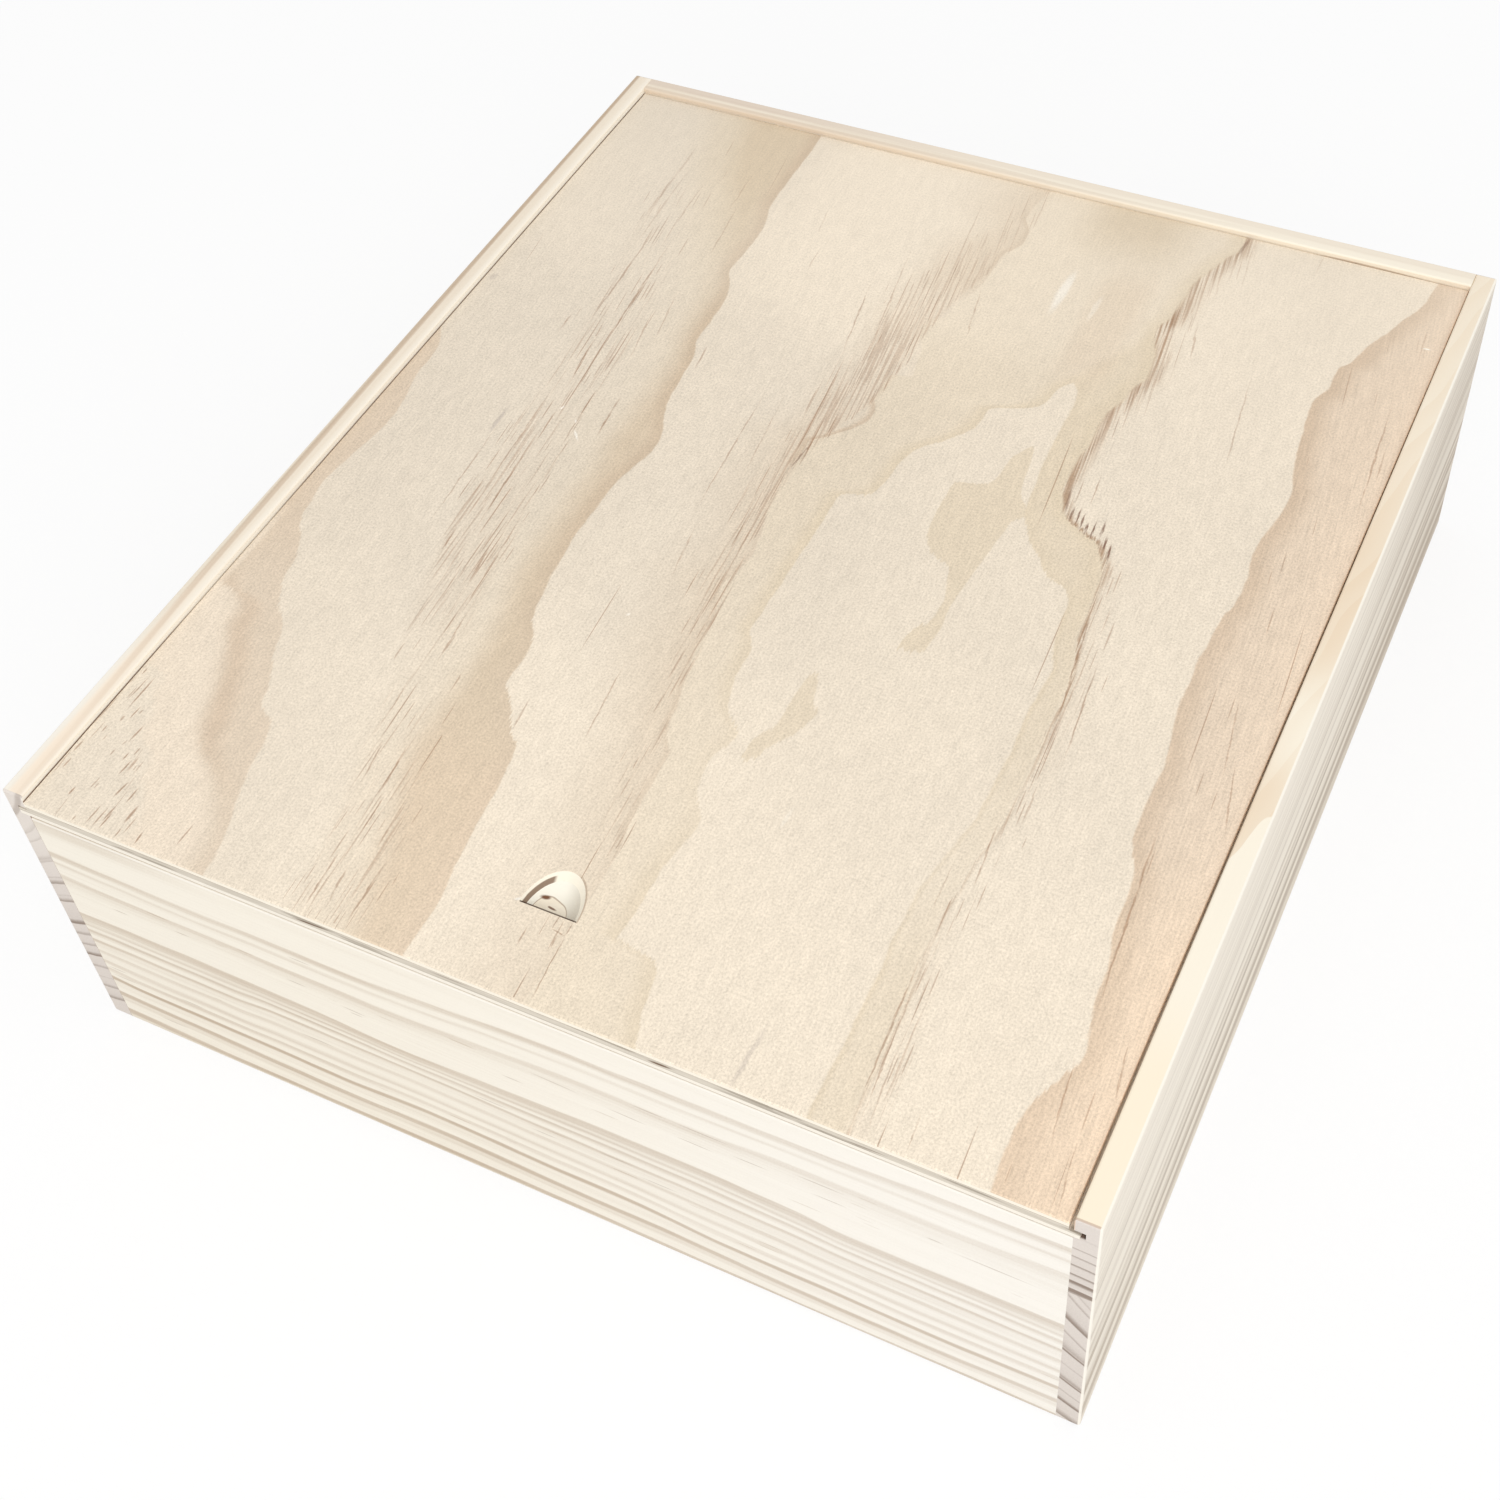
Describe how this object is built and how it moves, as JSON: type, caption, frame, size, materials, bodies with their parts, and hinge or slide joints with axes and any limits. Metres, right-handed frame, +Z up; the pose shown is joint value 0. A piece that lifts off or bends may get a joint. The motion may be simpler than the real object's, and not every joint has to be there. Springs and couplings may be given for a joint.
{
  "type": "sliding lid box",
  "caption": "Flat rectangular wooden box with a grooved frame and a plywood lid that slides out to the front by a scooped thumb notch.",
  "frame": {"origin": "middle of the underside of the box", "axes": "+X to the right across the box, +Y from the front, where the lid slides out, to the back, +Z up"},
  "size_m": [0.33, 0.3803, 0.115],
  "materials": {
    "side_pine": "planed, unfinished pine",
    "front_pine": "planed, unfinished pine",
    "back_pine": "planed, unfinished pine",
    "base_plywood": "sanded, unfinished plywood",
    "brad_steel": "bright steel wire",
    "lid_face": "sanded, unfinished rotary-cut pine veneer",
    "lid_core": "rotary-cut pine veneer, grain across",
    "lid_back": "sanded, unfinished rotary-cut pine veneer"
  },
  "bodies": {
    "box": {"left_side_board": "side_pine", "right_side_board": "side_pine", "front_board": "front_pine", "back_board": "back_pine", "base_panel": "base_plywood", "base_brads": "brad_steel"},
    "lid": {"lid_face_veneer": "lid_face", "lid_core_veneer": "lid_core", "lid_back_veneer": "lid_back"}
  },
  "joints": [
    {"name": "lid_slide", "type": "slide", "parent": "box", "child": "lid", "axis": [0, -1, 0], "range_m": [0, 0.38]}
  ]
}
